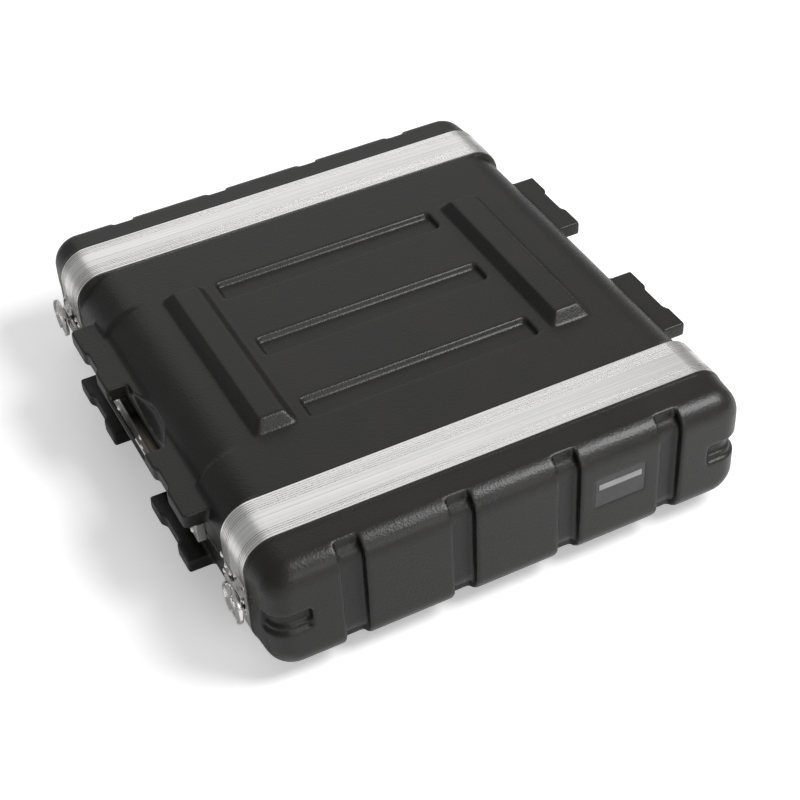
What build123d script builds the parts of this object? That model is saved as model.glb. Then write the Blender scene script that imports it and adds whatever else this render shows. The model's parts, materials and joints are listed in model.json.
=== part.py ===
from build123d import *
import math
import os

# Shallow 19-inch equipment case: a two-part moulded body, extruded aluminium frames and two lift-off lids.
# Millimetres. X is across the case, Y runs front (-Y) to rear (+Y), Z is up, and Z = 0 is the resting plane.

# ---- overall sizes ----
BAND_WIDTH = 520.0  # outside of the aluminium frames
BAND_HEIGHT = 137.4
BAND_RADIUS = 33.5
SHELL_INSET = 1.0  # the moulded body sits this far inside the frames
BAR_HEIGHT = 12.5  # stacking bars above and below the body
WALL = 3.0

BAND_BOTTOM = BAR_HEIGHT - SHELL_INSET
MID_Z = BAND_BOTTOM + BAND_HEIGHT / 2
BODY_SIDE = BAND_WIDTH / 2 - SHELL_INSET
BODY_TOP = BAND_BOTTOM + BAND_HEIGHT - SHELL_INSET
SURFACE = BAND_WIDTH / 2
OUTSIDE = 400.0  # further out than any piece reaches

# ---- distances from the middle of the case, along Y ----
FRAME_START = 199.5  # body edge of a frame
PARTING = 225.5  # body frame meets lid frame
FRAME_END = 252.0  # lid edge of a frame
LID_FACE = 301.0
SPLIT_GAP = 0.2

# ---- body ----
SHOULDER_RADIUS = 46.0  # long edges of the body
SCOOP_RADIUS = 54.0  # the same edge where the hand passes, beside the grip
SCOOP_HALF = 127.0

BAR_X = 165.0
BAR_WIDTH = 47.2
BAR_LENGTH = 246.0
BAR_SLOPE = 10.3

GROOVE_LENGTH = 257.6
GROOVE_WIDTH = 31.0
GROOVE_DEPTH = 6.5
GROOVE_PITCH = 106.7
GROOVE_SLOPE = 3.0

# Carrying rail with the grip, and the pads the case stands on when turned on its side.
SIDE_REACH = 283.0
SIDE_ROOT = BODY_SIDE - 12.0
RAIL_HALF = 160.0
RAIL_MIDDLE = -3.5
RAIL_BOTTOM = MID_Z + 25.2
RAIL_TOP = MID_Z + 41.4
RAIL_CORNER = 5.0
RAIL_NOTCH_Y = 100.0  # distance of a notch from the rail's middle
RAIL_NOTCH = 4.0
RAIL_NOTCH_TOP_HALF = 19.0
RAIL_NOTCH_FLOOR_HALF = 13.0
GRIP_MIDDLE = -8.5
GRIP_HALF = 53.0
GRIP_BAR_WIDTH = 4.0
GRIP_BAR_HEIGHT = 5.5
RELIEF_MIDDLE = -14.0
RELIEF_HALF = 50.0
RELIEF_RADIUS = 13.0
RELIEF_CENTRE = 3.0  # its axis stands this far outside the body
RELIEF_Z = MID_Z + 38.0
PAD_START = 52.0
PAD_END = 156.0
PAD_NOTCH = 4.5
NOTCH_TOP_HALF = 23.0
NOTCH_FLOOR_HALF = 17.0

# ---- frame section, measured inwards from the outside of the frame ----
SKIN = 2.2
LIP_OUT = 5.4
LIP_IN = 7.0
PANEL_OUT = 2.3
PANEL_IN = 5.3
TONGUE_OUT = 3.6
TONGUE_IN = 5.2
TONGUE_REACH = 3.0
SEAL_THICK = 1.2
FRAME_END_WALL = 3.0
LID_END_WALL = 6.0
RIB_PITCH = 2.7
RIB_WIDTH = 1.3
RIB_DEPTH = 0.55
BODY_RIBS = 6
LID_RIBS = 4

# ---- lids ----
LID_EDGE_RADIUS = 25.0
LID_DRAFT = 3.4  # each side leans in by this much from the rim to the face
LID_RIM_WIDTH = 3.0
LID_RIM_STEP = 0.8
LEAST_EDGE_RADIUS = 8.0
CHANNEL_X = (-170.5, -56.8, 56.8, 170.5)
CHANNEL_WIDTH = 24.0
CHANNEL_DEPTH = 9.0
CHANNEL_BACK = 283.0
POCKET_X = 215.0
POCKET_BACK = 276.0
POCKET_DEPTH = 7.5
POCKET_HALF = 12.0
POCKET_BEAD = 3.2  # height of the bead that runs inside the pocket, near its lower edge
POCKET_BEAD_START = 3.0
LABEL_LEFT = 85.0
LABEL_RIGHT = 141.0
LABEL_LOW = 72.0
LABEL_HIGH = 108.0
LABEL_BACK = -LID_FACE + 2.2  # floor of the label's recess, along Y
LABEL_PLATE = 1.0
LABEL_BAR = (93.5, 100.5)

# ---- 19-inch rack standard, two units high ----
RACK_HOLE_X = 232.55
RACK_CLEAR = 450.0
RACK_HEIGHT = 88.9
RACK_HOLE_OFFSETS = (6.35, 22.225, 38.1, 50.8, 66.675, 82.55)
RACK_HOLE_RADIUS = 3.4
RAIL_FACE = 199.0
RAIL_THICK = 2.5
RAIL_SHOULDER_X = 244.0  # outer end of a rail's top and bottom edges
RAIL_FLANGE_HALF = 20.0
RAIL_FLANGE_DEPTH = 28.0
RAIL_RIB_DEPTH = 12.0
RAIL_RIVET_Y = 192.0
RAIL_RIVET_Z = (64.4, 86.3)

# ---- rivets ----
RIVET_SHANK = 2.4
RIVET_CLEARANCE = 0.05
RIVET_TAIL = 1.6  # height of the set end
HEAD_RADIUS = 3.0
RAIL_HEAD_RADIUS = 3.4
STRIP_RIVET_TAIL = 2.9  # radius of the set end
RAIL_RIVET_TAIL = 3.4

# ---- strips over the seam of the body ----
STRIP_HALF = 150.0
STRIP_HEIGHT = 22.0
STRIP_REACH = 9.0
STRIP_EDGE = 1.2
STRIP_RIVET_Y = (-136.0, -68.0, 0.0, 68.0, 136.0)
STRIP_RIVET_Z = (MID_Z - 6.5, MID_Z + 6.5)

# ---- twist latch; v is the distance from the middle of the case along Y ----
LATCH_V = 243.0
LATCH_Z = 75.0
TWIST_TRAVEL = 6.0
BASE_NEAR = 228.0
BASE_FAR = 251.0
BASE_LOW = LATCH_Z - 18.0
BASE_HIGH = LATCH_Z + 24.0
BASE_TOP = SURFACE + 1.6
BASE_RIVETS = [(v, LATCH_Z + offset) for v in (231.5, 247.0) for offset in (-14.2, 19.5)]
HOOK_HALF = 7.5
HOOK_UNDER = SURFACE + 3.3
HOOK_TOP = SURFACE + 5.3
HOOK_END = FRAME_END - 1.5
CLAW_HALF = 6.0
GUIDE_OFFSET = 1.8
GUIDE_HALF = 1.5
KEEPER_NEAR = 203.0
KEEPER_FAR = 221.0
KEEPER_TOP = SURFACE + 1.4
KEEPER_HALF = 14.0
KEEPER_RIVETS = [(v, LATCH_Z + offset) for v in (206.5, 217.5) for offset in (-10.5, 10.5)]
LIP_NEAR = 213.5
LIP_FAR = 215.5
LIP_HEIGHT = 0.8
SHAFT_RADIUS = 4.0
ROTOR_RADIUS = 10.0
ROTOR_UNDER = HOOK_TOP + 0.3
ROTOR_TOP = ROTOR_UNDER + 3.0
WING_UNDER = ROTOR_TOP + 0.3
WING_TOP = WING_UNDER + 2.0
WING_RADIUS = 21.0
WING_GAP = 0.5
WING_RIM_HEIGHT = 1.6
WING_RIM_WIDTH = 2.0
WING_RIM_START = 8.0
PIN_V = 2.3  # distance of a wing's fold axis from the middle of the latch
PIN_RADIUS = 1.1
PIN_LENGTH = 16.0
PIN_POST = 6.8  # posts that carry a pin, above and below its middle
POST_HALF = 1.2
KNUCKLE_RADIUS = 2.0
KNUCKLE_LENGTH = 10.8
FOLD_CLEARANCE = 0.4
SLIDE_CLEARANCE = 0.3


def section_plane(y):
    """Plane across the case, local X = X and local Y = Z, facing the front."""
    return Plane(origin=(0, y, 0), x_dir=(1, 0, 0), z_dir=(0, -1, 0))


def block(x0, x1, y0, y1, z0, z1):
    """Box between two corners, given in any order."""
    size = (abs(x1 - x0), abs(y1 - y0), abs(z1 - z0))
    return Pos((x0 + x1) / 2, (y0 + y1) / 2, (z0 + z1) / 2) * Box(*size)


def front_prism(sketch, near, far):
    """Sketch across the case, extruded between two distances in front of the middle."""
    return extrude(section_plane(-near) * sketch, amount=far - near)


def turned(shape):
    """The shape turned half round about the lengthwise axis through the middle of the section."""
    return Pos(0, 0, 2 * MID_Z) * Rot(0, 180, 0) * shape


def band_section(inset):
    """Outline of the frames, inset all round."""
    outline = RectangleRounded(BAND_WIDTH - 2 * inset, BAND_HEIGHT - 2 * inset, BAND_RADIUS - inset)
    return Pos(0, MID_Z) * outline


def band_ring(outer, inner, near, far):
    """Ring of frame section between two insets, in front of the middle."""
    return front_prism(band_section(outer) - band_section(inner), near, far)


# ---- body ----


def body_section(inset, left_radius):
    """Outline of the body, with its own radius on the upper left edge."""
    side = BODY_SIDE - inset
    top = BODY_TOP - inset
    radius = SHOULDER_RADIUS - inset
    outline = Pos(0, MID_Z) * RectangleRounded(2 * side, 2 * (top - MID_Z), radius)
    left = left_radius - inset
    if left > radius:
        arc = left * math.sqrt(0.5)
        centre_x = -side + left
        centre_z = top - left
        corner = [
            Line((-side, centre_z), (-side, top)),
            Line((-side, top), (centre_x, top)),
            ThreePointArc((centre_x, top), (centre_x - arc, centre_z + arc), (-side, centre_z)),
        ]
        outline -= make_face(corner)
    return outline


def frustum(width, length, slope, height, base_z, radius):
    """Four-sided block with sloping sides, wide end at base_z; a negative height points down."""
    wide = RectangleRounded(width, length, radius)
    narrow = RectangleRounded(width - 2 * slope, length - 2 * slope, max(radius - slope / 2, 1.0))
    return loft([Pos(0, 0, base_z) * wide, Pos(0, 0, base_z + height) * narrow], ruled=True)


def notched_bar(start, end, inset, notches, depth, top_half, floor_half):
    """Bar on the right side of the body, with shallow notches in its outer face."""
    reach = SIDE_REACH - inset
    outline = [(SIDE_ROOT, start + inset), (reach, start + inset)]
    for middle in notches:
        outline += [
            (reach, middle - top_half),
            (reach - depth, middle - floor_half),
            (reach - depth, middle + floor_half),
            (reach, middle + top_half),
        ]
    outline += [(reach, end - inset), (SIDE_ROOT, end - inset)]
    face = make_face(Polyline(*outline, close=True))
    return extrude(Pos(0, 0, RAIL_BOTTOM + inset) * face, amount=RAIL_TOP - RAIL_BOTTOM - 2 * inset)


def side_pad(start, end, inset):
    """Pad on the right side of the body, with one notch."""
    middle = (start + end) / 2
    return notched_bar(start, end, inset, [middle], PAD_NOTCH, NOTCH_TOP_HALF, NOTCH_FLOOR_HALF)


def finger_relief(inset):
    """Almond-shaped hollow behind the grip, pointed at both ends."""
    half = RELIEF_HALF + 2 * inset
    radius = RELIEF_RADIUS + inset
    profile = make_face([ThreePointArc((0, -half), (radius, 0), (0, half)), Line((0, half), (0, -half))])
    return Pos(-BODY_SIDE - RELIEF_CENTRE, RELIEF_MIDDLE, RELIEF_Z) * revolve(profile, Axis.Y)


def body_form(inset):
    """Upper outside of the body, or its hollow when inset by the wall thickness."""
    scoop_half = SCOOP_HALF + inset
    end = FRAME_START - 0.1
    form = front_prism(body_section(inset, SCOOP_RADIUS), -scoop_half, scoop_half)
    form += front_prism(body_section(inset, SHOULDER_RADIUS), scoop_half, end)
    form += front_prism(body_section(inset, SHOULDER_RADIUS), -end, -scoop_half)

    groove = frustum(
        GROOVE_LENGTH + 2 * inset,
        GROOVE_WIDTH + 2 * inset,
        GROOVE_SLOPE,
        -GROOVE_DEPTH,
        BODY_TOP - inset,
        5 + inset,
    )
    for y in (-GROOVE_PITCH, 0, GROOVE_PITCH):
        form -= Pos(0, y, 0) * groove

    margin = 0.45 * inset
    bar = frustum(
        BAR_WIDTH - 2 * margin, BAR_LENGTH - 2 * margin, BAR_SLOPE, BAR_HEIGHT, BODY_TOP - inset, 6
    )
    for side in (-1, 1):
        form += Pos(side * BAR_X, 0, 0) * bar
    for start, far in ((PAD_START, PAD_END), (-PAD_END, -PAD_START)):
        form += side_pad(start, far, inset)
    return form


def rail_bar(inset):
    """Solid rail on the right side, with a notch either side of the grip."""
    notches = (RAIL_MIDDLE - RAIL_NOTCH_Y, RAIL_MIDDLE + RAIL_NOTCH_Y)
    start = RAIL_MIDDLE - RAIL_HALF
    end = RAIL_MIDDLE + RAIL_HALF
    return notched_bar(start, end, inset, notches, RAIL_NOTCH, RAIL_NOTCH_TOP_HALF, RAIL_NOTCH_FLOOR_HALF)


def carrying_rail():
    """Rail along the left side."""
    rail = rail_bar(0)
    outer_edges = rail.edges().filter_by(Axis.Z).group_by(Axis.X)[-1].sort_by(Axis.Y)
    rail = fillet([outer_edges[0], outer_edges[-1]], RAIL_CORNER)
    return mirror(rail, about=Plane.YZ)


def carrying_rail_hollow():
    """The two hollows of the rail, either side of the grip."""
    wall_half = GRIP_HALF + WALL
    grip = block(0, OUTSIDE, GRIP_MIDDLE - wall_half, GRIP_MIDDLE + wall_half, -OUTSIDE, OUTSIDE)
    return mirror(rail_bar(WALL) - grip, about=Plane.YZ)


def grip_opening():
    """What is cut from the rail so that only a low bar crosses the grip."""
    bar_inside = -SIDE_REACH + GRIP_BAR_WIDTH
    bar_top = RAIL_BOTTOM + GRIP_BAR_HEIGHT
    beside_body = -BODY_SIDE - 0.5
    start = GRIP_MIDDLE - GRIP_HALF
    end = GRIP_MIDDLE + GRIP_HALF
    slot = block(bar_inside, beside_body, start, end, RAIL_BOTTOM - 1, RAIL_TOP + 1)
    return slot + block(-SIDE_REACH - 1, beside_body, start, end, bar_top, RAIL_TOP + 1)


def body_half():
    """Upper body moulding; the lower one is the same moulding turned over."""
    outside = body_form(0) + carrying_rail() - finger_relief(0)
    hollow = body_form(WALL) - finger_relief(WALL) + carrying_rail_hollow()
    shell = outside - hollow - grip_opening()

    # The ends flare out to the frame outline, then step in to enter the frame's slot.
    opening = body_section(WALL, SHOULDER_RADIUS)
    end_cutter = front_prism(opening, FRAME_START - WALL - 2, FRAME_START + 1)
    flare = front_prism(band_section(SHELL_INSET) - opening, FRAME_START - WALL - 0.1, FRAME_START - 0.1)
    tongue = band_ring(PANEL_OUT, PANEL_IN, FRAME_START - 0.3, PARTING - FRAME_END_WALL - 0.1)
    front = flare + tongue
    shell = shell - end_cutter - mirror(end_cutter, about=Plane.XZ)
    shell = shell + front + mirror(front, about=Plane.XZ)
    return shell - block(-OUTSIDE, OUTSIDE, -OUTSIDE, OUTSIDE, -OUTSIDE, MID_Z)


# ---- frames ----


def ribbed(skin, positions):
    """Cut fine lengthwise grooves into the outside of a frame."""
    for near in positions:
        skin -= band_ring(-1.0, RIB_DEPTH, near, near + RIB_WIDTH)
    return skin


def body_frame():
    """Extruded frame on the front end of the body, with the tongue that seals against the lid."""
    frame = band_ring(0, SKIN, FRAME_START, PARTING)
    frame += band_ring(LIP_OUT, LIP_IN, FRAME_START, PARTING)
    frame += band_ring(0, LIP_IN, PARTING - FRAME_END_WALL, PARTING)
    frame += band_ring(TONGUE_OUT, TONGUE_IN, PARTING - 1, PARTING + TONGUE_REACH)
    return ribbed(frame, [FRAME_START + 2.2 + RIB_PITCH * i for i in range(BODY_RIBS)])


def lid_frame():
    """Extruded frame on the lid, with the groove for the tongue and its seal."""
    start = PARTING + SPLIT_GAP
    frame = band_ring(0, SKIN, start, FRAME_END)
    frame += band_ring(LIP_OUT, LIP_IN, start, FRAME_END)
    frame += band_ring(0, LIP_IN, start, start + LID_END_WALL)
    frame -= band_ring(TONGUE_OUT - 0.3, TONGUE_IN + 0.3, start - 1, start + TONGUE_REACH + 1.2)
    return ribbed(frame, [FRAME_END - 3.4 - RIB_PITCH * i for i in range(LID_RIBS)])


def lid_seal():
    """Soft cord at the bottom of the lid frame's groove."""
    start = PARTING + TONGUE_REACH + 0.1
    return band_ring(TONGUE_OUT - 0.1, TONGUE_IN + 0.1, start, start + SEAL_THICK)


# ---- lids ----


def lid_form(inset):
    """Tapered outside of a lid beyond its frame, or an inset copy of it."""
    rim = section_plane(-FRAME_END) * band_section(inset)
    face = section_plane(-LID_FACE + inset) * band_section(inset + LID_DRAFT)
    solid = loft([rim, face], ruled=True)
    edges = solid.faces().sort_by(Axis.Y)[0].outer_wire().edges()
    return fillet(edges, max(LID_EDGE_RADIUS - inset, LEAST_EDGE_RADIUS))


def lid_channels(inset):
    """Vertical channels over the face and the top and bottom edges."""
    floor = lid_form(CHANNEL_DEPTH + inset + LID_RIM_STEP)
    half = CHANNEL_WIDTH / 2 + inset
    cuts = None
    for x in CHANNEL_X:
        slab = block(x - half, x + half, -OUTSIDE, -CHANNEL_BACK + inset, -OUTSIDE, OUTSIDE)
        cuts = slab if cuts is None else cuts + slab
    return cuts - floor


def lid_pockets(inset):
    """Recess round each upright corner, with a bead left along its lower edge."""
    floor = lid_form(POCKET_DEPTH + inset + LID_RIM_STEP)
    bead = lid_form(POCKET_DEPTH / 2 + inset + LID_RIM_STEP)
    low = MID_Z - POCKET_HALF - inset
    high = MID_Z + POCKET_HALF + inset
    cuts = None
    for side in (-1, 1):
        slab = block(side * (POCKET_X - inset), side * OUTSIDE, -OUTSIDE, -POCKET_BACK + inset, low, high)
        bead_low = low + POCKET_BEAD_START
        bead_high = bead_low + POCKET_BEAD
        ledge = block(side * (POCKET_X + 2), side * OUTSIDE, -OUTSIDE, -POCKET_BACK - 2, bead_low, bead_high)
        cut = slab - floor
        if inset == 0:
            cut -= ledge & bead
        cuts = cut if cuts is None else cuts + cut
    return cuts


def lid_shell(labelled):
    """Moulded lid of the front end."""
    shell = lid_form(LID_RIM_STEP) - lid_channels(0) - lid_pockets(0)
    shell -= lid_form(WALL + LID_RIM_STEP) - lid_channels(WALL) - lid_pockets(WALL)
    shell -= front_prism(band_section(PANEL_IN), FRAME_END - 1, FRAME_END + 2.5)
    shell += band_ring(0, PANEL_IN, FRAME_END + 0.1, FRAME_END + 2.5)
    shell += band_ring(0, WALL, FRAME_END + 0.1, FRAME_END + LID_RIM_WIDTH)
    shell -= front_prism(band_section(-1), FRAME_END - 1, FRAME_END + 0.1)
    shell += band_ring(PANEL_OUT, PANEL_IN, PARTING + SPLIT_GAP + LID_END_WALL + 0.1, FRAME_END + 1)
    if labelled:
        shell -= block(LABEL_LEFT, LABEL_RIGHT, -OUTSIDE, LABEL_BACK, LABEL_LOW, LABEL_HIGH)
    return shell


def label_plate():
    """Blank plate in the front lid's recess, with one plain raised bar."""
    face = LABEL_BACK - LABEL_PLATE
    gap = 0.3
    left = LABEL_LEFT + gap
    right = LABEL_RIGHT - gap
    panel = block(left, right, LABEL_BACK, face, LABEL_LOW + gap, LABEL_HIGH - gap)
    return panel + block(LABEL_LEFT + 4, LABEL_RIGHT - 4, face, face - 0.3, *LABEL_BAR)


# ---- rivets ----


def rivet(x, y, z, side, head_radius, grip, tail=0):
    """Dome-headed rivet along X: head outside at x, shank through the grip, set end inside."""
    dome = 0.45 * head_radius
    sphere_radius = (head_radius**2 + dome**2) / (2 * dome)
    sweep = math.asin(head_radius / sphere_radius) / 2
    middle = (dome - sphere_radius + sphere_radius * math.cos(sweep), sphere_radius * math.sin(sweep))
    shank = RIVET_SHANK - RIVET_CLEARANCE
    outline = [(0, head_radius), (0, shank), (-grip, shank)]
    if tail:
        outline += [(-grip, tail), (-grip - RIVET_TAIL, tail), (-grip - RIVET_TAIL, 0)]
    else:
        outline += [(-grip, 0)]
    outline += [(dome, 0)]
    profile = make_face([Polyline(*outline), ThreePointArc((dome, 0), middle, (0, head_radius))])
    body = revolve(profile, Axis.X)
    if side < 0:
        body = Rot(0, 0, 180) * body
    return Pos(x, y, z) * body


def rivet_hole(x, y, z, reach):
    """Clearance for a rivet shank, along X."""
    return Pos(x, y, z) * Rot(0, 90, 0) * Cylinder(RIVET_SHANK, reach)


def side_points(distances, heights):
    """Places on both sides of the body, as (side, y, z)."""
    return [(side, y, z) for side in (-1, 1) for y in distances for z in heights]


STRIP_POINTS = side_points(STRIP_RIVET_Y, STRIP_RIVET_Z)
RAIL_POINTS = side_points((-RAIL_RIVET_Y, RAIL_RIVET_Y), RAIL_RIVET_Z)


def drilled(shell):
    """Body moulding with the rivet holes that fall in it."""
    for side, y, z in STRIP_POINTS + RAIL_POINTS:
        shell -= rivet_hole(side * BODY_SIDE, y, z, 4 * WALL)
    return shell


# ---- rack rails and seam strips ----


def rack_rail():
    """Left-hand front rack rail: a drilled face and a flange riveted to the body side."""
    inner = RACK_CLEAR / 2
    outer = BODY_SIDE - WALL - RIVET_CLEARANCE
    low = MID_Z - RACK_HEIGHT / 2
    high = MID_Z + RACK_HEIGHT / 2
    flange_low = MID_Z - RAIL_FLANGE_HALF
    flange_high = MID_Z + RAIL_FLANGE_HALF
    outline = [
        (-inner, low),
        (-inner, high),
        (-RAIL_SHOULDER_X, high),
        (-outer, flange_high),
        (-outer, flange_low),
        (-RAIL_SHOULDER_X, low),
    ]
    face = make_face(Polyline(*outline, close=True))
    rail = front_prism(face, RAIL_FACE - RAIL_THICK, RAIL_FACE)
    flange_end = -RAIL_FACE + RAIL_FLANGE_DEPTH
    rail += block(-outer, -outer + RAIL_THICK, -RAIL_FACE, flange_end, flange_low, flange_high)
    rail += block(-inner - RAIL_THICK, -inner, -RAIL_FACE, -RAIL_FACE + RAIL_RIB_DEPTH, low, high)
    for offset in RACK_HOLE_OFFSETS:
        rail -= Pos(-RACK_HOLE_X, -RAIL_FACE, low + offset) * Rot(90, 0, 0) * Cylinder(RACK_HOLE_RADIUS, 8)
    for z in RAIL_RIVET_Z:
        rail -= rivet_hole(-outer, -RAIL_RIVET_Y, z, 4 * RAIL_THICK)
    return rail


def joint_strip():
    """Left-hand flat bar that closes the seam between the body mouldings."""
    section = Pos(-BODY_SIDE - STRIP_REACH / 2, MID_Z) * Rectangle(STRIP_REACH, STRIP_HEIGHT)
    strip = front_prism(section, -STRIP_HALF, STRIP_HALF)
    outer_edges = strip.edges().filter_by(Axis.Y).group_by(Axis.X)[0]
    strip = chamfer(outer_edges, STRIP_EDGE)
    for side, y, z in STRIP_POINTS:
        if side < 0:
            strip -= rivet_hole(-BODY_SIDE, y, z, 4 * STRIP_REACH)
    return strip


# ---- twist latch, drawn at the front left end: outwards is -X, towards the body is +Y ----


def x_cylinder(radius, x0, x1, v, z):
    """Cylinder along X on the left side, between two distances from the middle plane."""
    return Pos(-(x0 + x1) / 2, -v, z) * Rot(0, 90, 0) * Cylinder(radius, abs(x1 - x0))


def plate(x0, x1, near, far, low, high, radius):
    """Flat plate against the left side, with rounded corners."""
    sketch = RectangleRounded(far - near, high - low, radius)
    outward = Plane(origin=(-x0, -(near + far) / 2, (low + high) / 2), x_dir=(0, -1, 0), z_dir=(-1, 0, 0))
    return extrude(outward * sketch, amount=x1 - x0)


def slab_over_latch(under, top, near, far, half_height):
    """Box on the left side, centred on the latch's height."""
    return block(-under, -top, -near, -far, LATCH_Z - half_height, LATCH_Z + half_height)


def latch_base():
    """Plate riveted to the lid frame, with guides for the hook and the bearing of the turning shaft."""
    base = plate(SURFACE, BASE_TOP, BASE_NEAR, BASE_FAR, BASE_LOW, BASE_HIGH, 5)
    for side in (-1, 1):
        guide = LATCH_Z + side * (HOOK_HALF + GUIDE_OFFSET)
        base += block(
            -BASE_TOP + 0.2, -HOOK_TOP, -BASE_NEAR, -BASE_FAR + 2, guide - GUIDE_HALF, guide + GUIDE_HALF
        )
    base += x_cylinder(SHAFT_RADIUS + 1.3, BASE_TOP - 0.5, HOOK_UNDER - 0.2, LATCH_V, LATCH_Z)
    base -= x_cylinder(SHAFT_RADIUS, SURFACE - 1, HOOK_UNDER + 1, LATCH_V, LATCH_Z)
    for v, z in BASE_RIVETS:
        base -= rivet_hole(-SURFACE, -v, z, 6)
    return base


def latch_hook():
    """Sliding claw plate that reaches over the keeper's lip."""
    near = LIP_NEAR - 2.6
    claw_top = HOOK_UNDER - 0.1
    hook = plate(HOOK_UNDER, HOOK_TOP, near, HOOK_END, LATCH_Z - HOOK_HALF, LATCH_Z + HOOK_HALF, 2)
    hook += slab_over_latch(HOOK_UNDER - 0.8, HOOK_UNDER + 0.1, near, near + 2.1, CLAW_HALF)
    slot_radius = SHAFT_RADIUS + SLIDE_CLEARANCE
    slot_end = LATCH_V + TWIST_TRAVEL
    slot = slab_over_latch(claw_top - 0.9, HOOK_TOP + 1, LATCH_V, slot_end, slot_radius)
    for v in (LATCH_V, slot_end):
        slot += x_cylinder(slot_radius, claw_top - 0.9, HOOK_TOP + 1, v, LATCH_Z)
    return hook - slot


def latch_rotor():
    """Turning head with its shaft and the two pins the wings fold on."""
    rotor = x_cylinder(ROTOR_RADIUS, ROTOR_UNDER, ROTOR_TOP, LATCH_V, LATCH_Z)
    rotor += x_cylinder(SHAFT_RADIUS - 0.05, SURFACE + 0.3, ROTOR_UNDER + 0.5, LATCH_V, LATCH_Z)
    centre = (WING_UNDER + WING_TOP) / 2
    for side in (-1, 1):
        v = LATCH_V + side * PIN_V
        rotor -= Pos(-centre, -v, LATCH_Z) * Cylinder(KNUCKLE_RADIUS + FOLD_CLEARANCE, 2 * PIN_LENGTH)
    for side in (-1, 1):
        v = LATCH_V + side * PIN_V
        rotor += Pos(-centre, -v, LATCH_Z) * Cylinder(PIN_RADIUS, PIN_LENGTH)
        for end in (-1, 1):
            post = LATCH_Z + end * PIN_POST
            rotor += block(-ROTOR_TOP + 1.6, -centre, -v + 1.1, -v - 1.1, post - POST_HALF, post + POST_HALF)
    return rotor


def latch_wing(side):
    """Half-round thumb wing folded flat; side is 1 for the wing nearer the lid."""
    outer = LATCH_V + side * (WING_RADIUS + 1)
    tall = WING_RADIUS + 1
    disc = x_cylinder(WING_RADIUS, WING_UNDER, WING_TOP, LATCH_V, LATCH_Z)
    wing = disc & slab_over_latch(WING_UNDER - 1, WING_TOP + 1, LATCH_V + side * WING_GAP, outer, tall)
    rim_top = WING_TOP + WING_RIM_HEIGHT
    rim = x_cylinder(WING_RADIUS, WING_TOP - 0.5, rim_top, LATCH_V, LATCH_Z)
    rim -= x_cylinder(WING_RADIUS - WING_RIM_WIDTH, WING_TOP - 1, rim_top + 1, LATCH_V, LATCH_Z)
    wing += rim & slab_over_latch(WING_TOP - 1, rim_top + 1, LATCH_V + side * WING_RIM_START, outer, tall)
    centre = (WING_UNDER + WING_TOP) / 2
    v = LATCH_V + side * PIN_V
    wing += Pos(-centre, -v, LATCH_Z) * Cylinder(KNUCKLE_RADIUS, KNUCKLE_LENGTH)
    wing -= Pos(-centre, -v, LATCH_Z) * Cylinder(PIN_RADIUS + 0.05, PIN_LENGTH + 0.8)
    for end in (-1, 1):
        post = LATCH_Z + end * PIN_POST
        clear = POST_HALF + 0.2
        wing -= block(-ROTOR_TOP + 1, -WING_TOP - 2, -v + 2.2, -v - 2.2, post - clear, post + clear)
    return wing


def keeper():
    """Plate on the body frame whose raised lip the hook pulls against."""
    low = LATCH_Z - KEEPER_HALF
    high = LATCH_Z + KEEPER_HALF
    body = plate(SURFACE, KEEPER_TOP, KEEPER_NEAR, KEEPER_FAR, low, high, 4)
    body += slab_over_latch(KEEPER_TOP - 0.2, KEEPER_TOP + LIP_HEIGHT, LIP_NEAR, LIP_FAR, CLAW_HALF)
    for v, z in KEEPER_RIVETS:
        body -= rivet_hole(-SURFACE, -v, z, 6)
    return body


def drill_frame(frame, points):
    """Rivet holes through the skin of a frame, both sides."""
    for v, z in points:
        for side in (-1, 1):
            frame -= rivet_hole(side * SURFACE, -v, z, 2 * SKIN + 0.2)
    return frame


# ---- assembly ----


def at_end(shape, left, front):
    """Copy of a front-left piece at any of the four ends."""
    if left and front:
        return shape
    if front:
        return mirror(shape, about=Plane.YZ)
    if left:
        return mirror(shape, about=Plane.XZ)
    return Rot(0, 0, 180) * shape


def group(shapes):
    """Several separate solids kept as one node."""
    solids = []
    for shape in shapes:
        solids.extend(shape.solids())
    return Compound(children=solids)


ENDS = {"front": True, "rear": False}
SIDES = {"left": True, "right": False}


def body_parts():
    half = body_half()
    strip = joint_strip()
    strip_face = BODY_SIDE + STRIP_REACH
    strip_grip = STRIP_REACH + WALL
    rail_grip = WALL + RAIL_THICK + RIVET_CLEARANCE
    return {
        "upper_shell": drilled(half),
        "lower_shell": drilled(turned(half)),
        "joint_strip_left": strip,
        "joint_strip_right": mirror(strip, about=Plane.YZ),
        "strip_rivets": group(
            rivet(side * strip_face, y, z, side, HEAD_RADIUS, strip_grip, STRIP_RIVET_TAIL)
            for side, y, z in STRIP_POINTS
        ),
        "rail_rivets": group(
            rivet(side * BODY_SIDE, y, z, side, RAIL_HEAD_RADIUS, rail_grip, RAIL_RIVET_TAIL)
            for side, y, z in RAIL_POINTS
        ),
    }


def end_parts():
    parts = {}
    frame = drill_frame(body_frame(), KEEPER_RIVETS)
    cover = drill_frame(lid_frame(), BASE_RIVETS)
    seal = lid_seal()
    rail = rack_rail()
    for end, front in ENDS.items():
        parts[f"body_frame_{end}"] = at_end(frame, True, front)
        parts[f"lid_frame_{end}"] = at_end(cover, True, front)
        parts[f"lid_seal_{end}"] = at_end(seal, True, front)
        parts[f"lid_shell_{end}"] = at_end(lid_shell(labelled=front), True, front)
        for side, left in SIDES.items():
            parts[f"rack_rail_{end}_{side}"] = at_end(rail, left, front)
    parts["label_plate"] = label_plate()
    return parts


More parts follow.
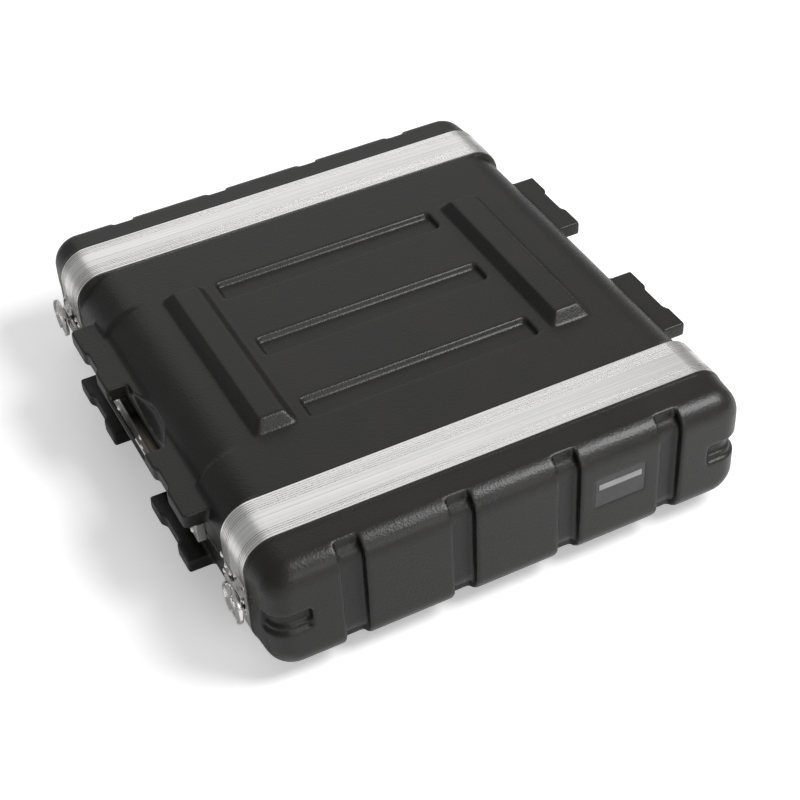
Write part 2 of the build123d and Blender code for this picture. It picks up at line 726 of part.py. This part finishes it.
def latch_parts():
    pieces = {
        "base": latch_base(),
        "rotor": latch_rotor(),
        "hook": latch_hook(),
        "wing_lid": latch_wing(1),
        "wing_body": latch_wing(-1),
    }
    catch = keeper()
    base_grip = BASE_TOP - SURFACE + SKIN
    keeper_grip = KEEPER_TOP - SURFACE + SKIN
    base_pins = [rivet(-BASE_TOP, -v, z, -1, HEAD_RADIUS, base_grip) for v, z in BASE_RIVETS]
    keeper_pins = [rivet(-KEEPER_TOP, -v, z, -1, HEAD_RADIUS, keeper_grip) for v, z in KEEPER_RIVETS]

    parts = {}
    all_keeper_pins = []
    for end, front in ENDS.items():
        end_pins = []
        for side, left in SIDES.items():
            for name, piece in pieces.items():
                parts[f"latch_{end}_{side}_{name}"] = at_end(piece, left, front)
            parts[f"keeper_{end}_{side}"] = at_end(catch, left, front)
            end_pins += [at_end(pin, left, front) for pin in base_pins]
            all_keeper_pins += [at_end(pin, left, front) for pin in keeper_pins]
        parts[f"latch_rivets_{end}"] = group(end_pins)
    parts["keeper_rivets"] = group(all_keeper_pins)
    return parts


os.makedirs("parts", exist_ok=True)
for name, shape in {**body_parts(), **end_parts(), **latch_parts()}.items():
    export_step(shape, f"parts/{name}.step")
    print(name, len(shape.solids()), round(shape.volume))
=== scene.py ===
import json
import math

import bpy
from mathutils import Matrix, Vector

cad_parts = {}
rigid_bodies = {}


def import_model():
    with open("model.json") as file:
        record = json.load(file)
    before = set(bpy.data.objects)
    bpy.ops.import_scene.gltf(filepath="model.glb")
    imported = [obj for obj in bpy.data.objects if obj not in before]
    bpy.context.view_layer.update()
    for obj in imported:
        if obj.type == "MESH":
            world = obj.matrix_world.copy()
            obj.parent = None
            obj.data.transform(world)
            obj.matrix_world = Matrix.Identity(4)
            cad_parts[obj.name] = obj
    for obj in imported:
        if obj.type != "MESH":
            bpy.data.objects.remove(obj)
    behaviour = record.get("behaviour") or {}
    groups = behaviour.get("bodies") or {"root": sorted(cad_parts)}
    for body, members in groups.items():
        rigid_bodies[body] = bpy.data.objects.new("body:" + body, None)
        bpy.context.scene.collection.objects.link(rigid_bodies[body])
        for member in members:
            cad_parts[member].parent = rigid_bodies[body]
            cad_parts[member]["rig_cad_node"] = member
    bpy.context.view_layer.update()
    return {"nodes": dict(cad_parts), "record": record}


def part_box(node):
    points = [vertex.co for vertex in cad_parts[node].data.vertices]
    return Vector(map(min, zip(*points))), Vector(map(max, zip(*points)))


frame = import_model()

MM = 0.001
_, case_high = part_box("upper_shell")
case_low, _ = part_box("lower_shell")
centre = Vector((0.0, 0.0, (case_low.z + case_high.z) / 2))
label_low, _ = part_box("label_plate")

# ---- view: degrees and metres; a negative azimuth looks from the left of the front ----
CAMERA_AZIMUTH = -25.08
CAMERA_ELEVATION = 41.23
CAMERA_ROLL = -3.19
CAMERA_DISTANCE = 1.8466
CAMERA_LENS = 78.97
CAMERA_SENSOR = 36.0
CAMERA_REACH = 50.0
CAMERA_AIM = Vector((0.0008, -0.0503, -0.0223))  # from the middle of the case

# ---- light ----
SKY = 0.34  # strength of the surroundings as a light; the camera sees them white
FLOOR_SIZE = 40.0
FLOOR_DROP = 0.3 * MM  # keeps the floor clear of the case's feet
FLOOR_LIFT = 0.35
GLINT_LIMIT = 1.2  # brightest single glint, which keeps the fine ribs from sparkling
KEY_PLACE = Vector((0.46, -0.42, 0.78)).normalized() * 2.2
LAMPS = (  # name, place from the middle of the case, diameter, watts
    ("key", KEY_PLACE, 1.0, 48.0),
    ("back", Vector((0.5, 2.0, 1.7)), 2.6, 10.0),
    ("front_fill", Vector((0.3, -2.4, 0.9)), 1.2, 14.0),
)

# ---- painted shade on the seam bars inside the grips, where the rails shade them ----
GRIP_MIDDLE = -8.5 * MM
GRIP_REACH = 60 * MM

# ---- soft edges ----
VOXEL = 1.6 * MM
SMOOTH_STEPS = 8
SMOOTH_FACTOR = 0.5
MERGE_GAP = 0.005 * MM
SHARP_ANGLE = 38  # degrees; edges turning by more than this are bevelled
LATCH_BEVEL = 0.3 * MM
PLATE_BEVEL = 0.25 * MM


def named(prefix):
    """CAD nodes whose names start with a prefix, in order."""
    return [frame["nodes"][n] for n in sorted(frame["nodes"]) if n.startswith(prefix)]


# ---------------------------------------------------------------- materials


class Shader:
    """A material under construction, with short calls for the nodes used here."""

    def __init__(self, name):
        self.material = bpy.data.materials.new(name)
        self.material.use_nodes = True
        self.tree = self.material.node_tree
        self.bsdf = next(n for n in self.tree.nodes if n.type == "BSDF_PRINCIPLED")
        self.coords = self.tree.nodes.new("ShaderNodeTexCoord").outputs["Object"]

    def join(self, source, target):
        self.tree.links.new(source, target)

    def feed(self, value, target):
        """Join a socket to an input, or set the input to a number."""
        if isinstance(value, (int, float)):
            target.default_value = value
        else:
            self.join(value, target)

    def set(self, **values):
        """Set inputs of the surface by name, with _ for each space."""
        for name, value in values.items():
            self.bsdf.inputs[name.replace("_", " ")].default_value = value

    def stretched(self, scale):
        """Object coordinates scaled separately along each axis."""
        node = self.tree.nodes.new("ShaderNodeMapping")
        node.inputs["Scale"].default_value = scale
        self.join(self.coords, node.inputs["Vector"])
        return node.outputs["Vector"]

    def noise(self, size, detail=3.0, rough=0.5, vector=None):
        """Noise whose features are about size metres."""
        node = self.tree.nodes.new("ShaderNodeTexNoise")
        node.inputs["Scale"].default_value = 1.0 / size
        node.inputs["Detail"].default_value = detail
        node.inputs["Roughness"].default_value = rough
        self.join(vector or self.coords, node.inputs["Vector"])
        return node.outputs["Fac"]

    def cells(self, size):
        """Rounded pebbles about size metres across."""
        node = self.tree.nodes.new("ShaderNodeTexVoronoi")
        node.feature = "SMOOTH_F1"
        node.inputs["Scale"].default_value = 1.0 / size
        self.join(self.coords, node.inputs["Vector"])
        return node.outputs["Distance"]

    def ramp(self, source, stops):
        """Colour ramp over stops of (position, colour or grey)."""
        node = self.tree.nodes.new("ShaderNodeValToRGB")
        elements = node.color_ramp.elements
        while len(elements) < len(stops):
            elements.new(0.5)
        for element, (place, value) in zip(elements, stops):
            element.position = place
            colour = (value, value, value) if isinstance(value, float) else value
            element.color = (*colour, 1.0)
        self.join(source, node.inputs["Fac"])
        return node.outputs["Color"]

    def mix(self, factor, a, b):
        """Value mix of two sources or numbers."""
        node = self.tree.nodes.new("ShaderNodeMix")
        for socket, value in (("Factor", factor), ("A", a), ("B", b)):
            self.feed(value, node.inputs[socket])
        return node.outputs["Result"]

    def math(self, operation, a, b=0.0):
        """One arithmetic step on sources or numbers."""
        node = self.tree.nodes.new("ShaderNodeMath")
        node.operation = operation
        self.feed(a, node.inputs[0])
        self.feed(b, node.inputs[1])
        return node.outputs[0]

    def along(self, axis):
        """Object coordinate along one axis."""
        node = self.tree.nodes.new("ShaderNodeSeparateXYZ")
        self.join(self.coords, node.inputs["Vector"])
        return node.outputs[axis]

    def painted_recess_shade(self, reach, low, full=0.95):
        """Grey that falls to low in recesses narrower than reach: painted shade where light is blocked.
        """
        node = self.tree.nodes.new("ShaderNodeAmbientOcclusion")
        node.samples = 8
        node.inputs["Distance"].default_value = reach
        return self.ramp(node.outputs["AO"], [(0.1, low), (full, 1.0)])

    def blend_colours(self, factor, a, b, mode="MIX"):
        """Colour a blended into colour b; the numbered sockets are those of the colour mix."""
        node = self.tree.nodes.new("ShaderNodeMix")
        node.data_type = "RGBA"
        node.blend_type = mode
        self.feed(factor, node.inputs[0])
        self.join(a, node.inputs[6])
        self.join(b, node.inputs[7])
        return node.outputs[2]

    def times(self, a, b):
        """Product of two colours."""
        return self.blend_colours(1.0, a, b, "MULTIPLY")

    def colour(self, source):
        self.join(source, self.bsdf.inputs["Base Color"])

    def roughness(self, source):
        self.join(source, self.bsdf.inputs["Roughness"])

    def bump(self, height, distance, strength=1.0, after=None):
        """Relief of a given depth, laid over an earlier one if there is one."""
        node = self.tree.nodes.new("ShaderNodeBump")
        node.inputs["Distance"].default_value = distance
        node.inputs["Strength"].default_value = strength
        self.join(height, node.inputs["Height"])
        if after:
            self.join(after, node.inputs["Normal"])
        self.join(node.outputs["Normal"], self.bsdf.inputs["Normal"])
        return node.outputs["Normal"]


def moulded_plastic():
    """Black moulded plastic with a pebble grain, scuffed a little paler in broad patches, with painted
    shade in its recesses.
    """
    s = Shader("moulded_plastic")
    patches = s.noise(60 * MM, detail=6.0, rough=0.6)
    shade = s.ramp(patches, [(0.3, (0.0072, 0.0064, 0.0060)), (0.7, (0.0112, 0.0100, 0.0093))])
    # painted shade: the plastic colour darkens in recesses up to 22 mm across
    s.colour(s.times(shade, s.painted_recess_shade(22 * MM, 0.25)))
    s.roughness(s.mix(patches, 0.34, 0.44))
    s.set(Specular_IOR_Level=0.34)
    pebble = s.cells(2.2 * MM)
    fine = s.noise(0.9 * MM, detail=2.0)
    grain = s.bump(pebble, 0.4 * MM, 0.5)
    s.bump(fine, 0.10 * MM, 0.5, after=grain)
    return s.material


def grip_painted_shade(s):
    """Painted shade on the seam bars inside the grips, where the rails shade them; the frames lie far
    outside it.
    """
    from_grip = s.math("ABSOLUTE", s.math("SUBTRACT", s.along("Y"), GRIP_MIDDLE))
    uneven = s.math("MULTIPLY", s.noise(14 * MM, detail=4.0), 20 * MM)
    place = s.math("DIVIDE", s.math("ADD", from_grip, uneven), 2 * GRIP_REACH)
    return s.ramp(place, [(0.42, (0.10, 0.088, 0.078)), (0.82, (1.0, 1.0, 1.0))])


def satin_aluminium():
    """Drawn aluminium: soft lines along the extrusion, an uneven satin, painted shade in its grooves,
    and painted shade on the seam bars inside the grips.
    """
    s = Shader("satin_aluminium")
    lines = s.noise(2.2 * MM, detail=3.0, vector=s.stretched((0.01, 1.0, 0.01)))
    cloud = s.noise(25 * MM, detail=4.0)
    s.set(Metallic=1.0)
    shade = s.ramp(lines, [(0.3, (0.72, 0.715, 0.705)), (0.7, (0.90, 0.895, 0.885))])
    # painted shade: the rib grooves darken where light is blocked
    grooves = s.times(shade, s.painted_recess_shade(1.2 * MM, 0.55))
    # painted shade on the seam bars inside the grips
    s.colour(s.times(grooves, grip_painted_shade(s)))
    s.roughness(s.mix(cloud, 0.26, 0.36))
    s.bump(lines, 0.05 * MM, 0.5)
    return s.material


def bright_steel():
    """Bright plated steel with faint polishing marks and handling haze."""
    s = Shader("bright_steel")
    marks = s.noise(0.5 * MM, detail=3.0, vector=s.stretched((1.0, 0.2, 1.0)))
    haze = s.noise(7 * MM, detail=5.0)
    s.set(Metallic=1.0)
    s.colour(s.ramp(haze, [(0.3, (0.66, 0.65, 0.63)), (0.7, (0.78, 0.775, 0.76))]))
    s.roughness(s.mix(haze, 0.14, 0.30))
    s.bump(marks, 0.01 * MM, 0.5)
    return s.material


def seal_rubber():
    """Matt black cord."""
    s = Shader("seal_rubber")
    s.colour(s.ramp(s.noise(4 * MM), [(0.3, (0.010, 0.010, 0.010)), (0.7, (0.018, 0.018, 0.018))]))
    s.set(Roughness=0.85)
    s.bump(s.noise(0.6 * MM), 0.05 * MM)
    return s.material


def black_steel():
    """Steel with a thin black coat that has a slight orange peel."""
    s = Shader("black_steel")
    s.colour(s.ramp(s.noise(20 * MM), [(0.3, (0.012, 0.012, 0.013)), (0.7, (0.02, 0.02, 0.021))]))
    s.roughness(s.mix(s.noise(3 * MM), 0.32, 0.45))
    s.bump(s.noise(1.2 * MM), 0.05 * MM, 0.7)
    return s.material


def label_plastic():
    """Blank dark plate whose raised bar is printed pale grey."""
    s = Shader("label_plastic")
    raised = s.math("LESS_THAN", s.along("Y"), label_low.y + 0.2 * MM)
    tone = s.noise(9 * MM)
    dark = s.ramp(tone, [(0.3, (0.020, 0.020, 0.020)), (0.7, (0.028, 0.028, 0.028))])
    pale = s.ramp(tone, [(0.3, (0.20, 0.20, 0.20)), (0.7, (0.26, 0.26, 0.26))])
    s.colour(s.blend_colours(raised, dark, pale))
    s.set(Roughness=0.42)
    s.bump(s.noise(0.8 * MM), 0.03 * MM)
    return s.material


MATERIALS = {
    "moulded_plastic": moulded_plastic(),
    "satin_aluminium": satin_aluminium(),
    "bright_steel": bright_steel(),
    "seal_rubber": seal_rubber(),
    "black_steel": black_steel(),
    "label_plastic": label_plastic(),
}


SLOTS = {part["node"]: part["material_slot"] for part in frame["record"]["subparts"]}


def paint(node):
    """Give a CAD node the material of its slot in the record."""
    slot = SLOTS[node["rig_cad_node"]]
    node.data.materials.clear()
    node.data.materials.append(MATERIALS[slot])


for cad_node in frame["nodes"].values():
    paint(cad_node)


# ---------------------------------------------------------------- soft edges


def soften_moulding(node):
    """Rebuild a moulded shell as an even mesh and relax it, so that its edges come out rounded."""
    remesh = node.modifiers.new("even_mesh", "REMESH")
    remesh.mode = "VOXEL"
    remesh.voxel_size = VOXEL
    remesh.use_smooth_shade = True
    relax = node.modifiers.new("rounded_edges", "SMOOTH")
    relax.factor = SMOOTH_FACTOR
    relax.iterations = SMOOTH_STEPS


def soften_metal(node, width):
    """Small real bevels on a sheet-metal or extruded part."""
    weld = node.modifiers.new("weld", "WELD")
    weld.merge_threshold = MERGE_GAP
    bevel = node.modifiers.new("bevel", "BEVEL")
    bevel.width = width
    bevel.segments = 2
    bevel.limit_method = "ANGLE"
    bevel.angle_limit = math.radians(SHARP_ANGLE)
    bevel.harden_normals = True
    bevel.use_clamp_overlap = True


for moulding in named("upper_shell") + named("lower_shell") + named("lid_shell"):
    soften_moulding(moulding)
for piece in named("latch_front") + named("latch_rear") + named("keeper_front") + named("keeper_rear"):
    soften_metal(piece, LATCH_BEVEL)
for piece in named("label_plate") + named("joint_strip") + named("rack_rail"):
    soften_metal(piece, PLATE_BEVEL)


# ---------------------------------------------------------------- floor, light and camera


def floor():
    """Large pale floor that the camera sees a little lighter than it is lit."""
    mesh = bpy.data.meshes.new("floor")
    half = FLOOR_SIZE / 2
    level = -FLOOR_DROP
    corners = [(-half, -half, level), (half, -half, level), (half, half, level), (-half, half, level)]
    mesh.from_pydata(corners, [], [(0, 1, 2, 3)])
    plane = bpy.data.objects.new("floor", mesh)
    bpy.context.scene.collection.objects.link(plane)
    s = Shader("pale_floor")
    s.colour(s.ramp(s.noise(0.8), [(0.3, (0.92, 0.92, 0.92)), (0.7, (0.93, 0.93, 0.93))]))
    s.set(Roughness=0.9, Specular_IOR_Level=0.1, Emission_Color=(1.0, 1.0, 1.0, 1.0))
    seen = s.tree.nodes.new("ShaderNodeLightPath").outputs["Is Camera Ray"]
    s.join(s.math("MULTIPLY", seen, FLOOR_LIFT), s.bsdf.inputs["Emission Strength"])
    mesh.materials.append(s.material)


def soft_light(name, place, size, power):
    """Round lamp aimed at the middle of the case."""
    light = bpy.data.lights.new(name, "AREA")
    light.shape = "DISK"
    light.size = size
    light.energy = power
    lamp = bpy.data.objects.new(name, light)
    lamp.location = centre + place
    lamp.rotation_euler = (-place).to_track_quat("-Z", "Y").to_euler()
    bpy.context.scene.collection.objects.link(lamp)


def studio():
    """White surroundings for the camera, a dimmer sky for the light, and the soft lamps."""
    world = bpy.data.worlds.new("studio")
    bpy.context.scene.world = world
    world.use_nodes = True
    tree = world.node_tree
    background = tree.nodes["Background"]
    background.inputs["Color"].default_value = (1.0, 1.0, 1.0, 1.0)
    path = tree.nodes.new("ShaderNodeLightPath")
    strength = tree.nodes.new("ShaderNodeMapRange")
    strength.inputs["To Min"].default_value = SKY
    strength.inputs["To Max"].default_value = 1.0
    tree.links.new(path.outputs["Is Camera Ray"], strength.inputs["Value"])
    tree.links.new(strength.outputs["Result"], background.inputs["Strength"])
    for lamp in LAMPS:
        soft_light(*lamp)
    scene = bpy.context.scene
    scene.view_settings.view_transform = "Standard"
    scene.cycles.sample_clamp_indirect = GLINT_LIMIT
    scene.cycles.sample_clamp_direct = GLINT_LIMIT


def camera():
    """Camera that looks at the case from the front left, above, slightly rolled."""
    azimuth = math.radians(CAMERA_AZIMUTH)
    elevation = math.radians(CAMERA_ELEVATION)
    roll = math.radians(CAMERA_ROLL)
    flat = math.cos(elevation)
    back = Vector((math.sin(azimuth) * flat, -math.cos(azimuth) * flat, math.sin(elevation)))
    right = Vector((0, 0, 1)).cross(back).normalized()
    up = back.cross(right)
    rolled_right = right * math.cos(roll) + up * math.sin(roll)
    rolled_up = up * math.cos(roll) - right * math.sin(roll)
    data = bpy.data.cameras.new("camera")
    data.lens = CAMERA_LENS
    data.sensor_width = CAMERA_SENSOR
    data.clip_end = CAMERA_REACH
    eye = bpy.data.objects.new("camera", data)
    turn = Matrix((rolled_right, rolled_up, back)).transposed().to_4x4()
    eye.matrix_world = Matrix.Translation(centre + CAMERA_AIM + back * CAMERA_DISTANCE) @ turn
    bpy.context.scene.collection.objects.link(eye)
    bpy.context.scene.camera = eye


floor()
studio()
camera()
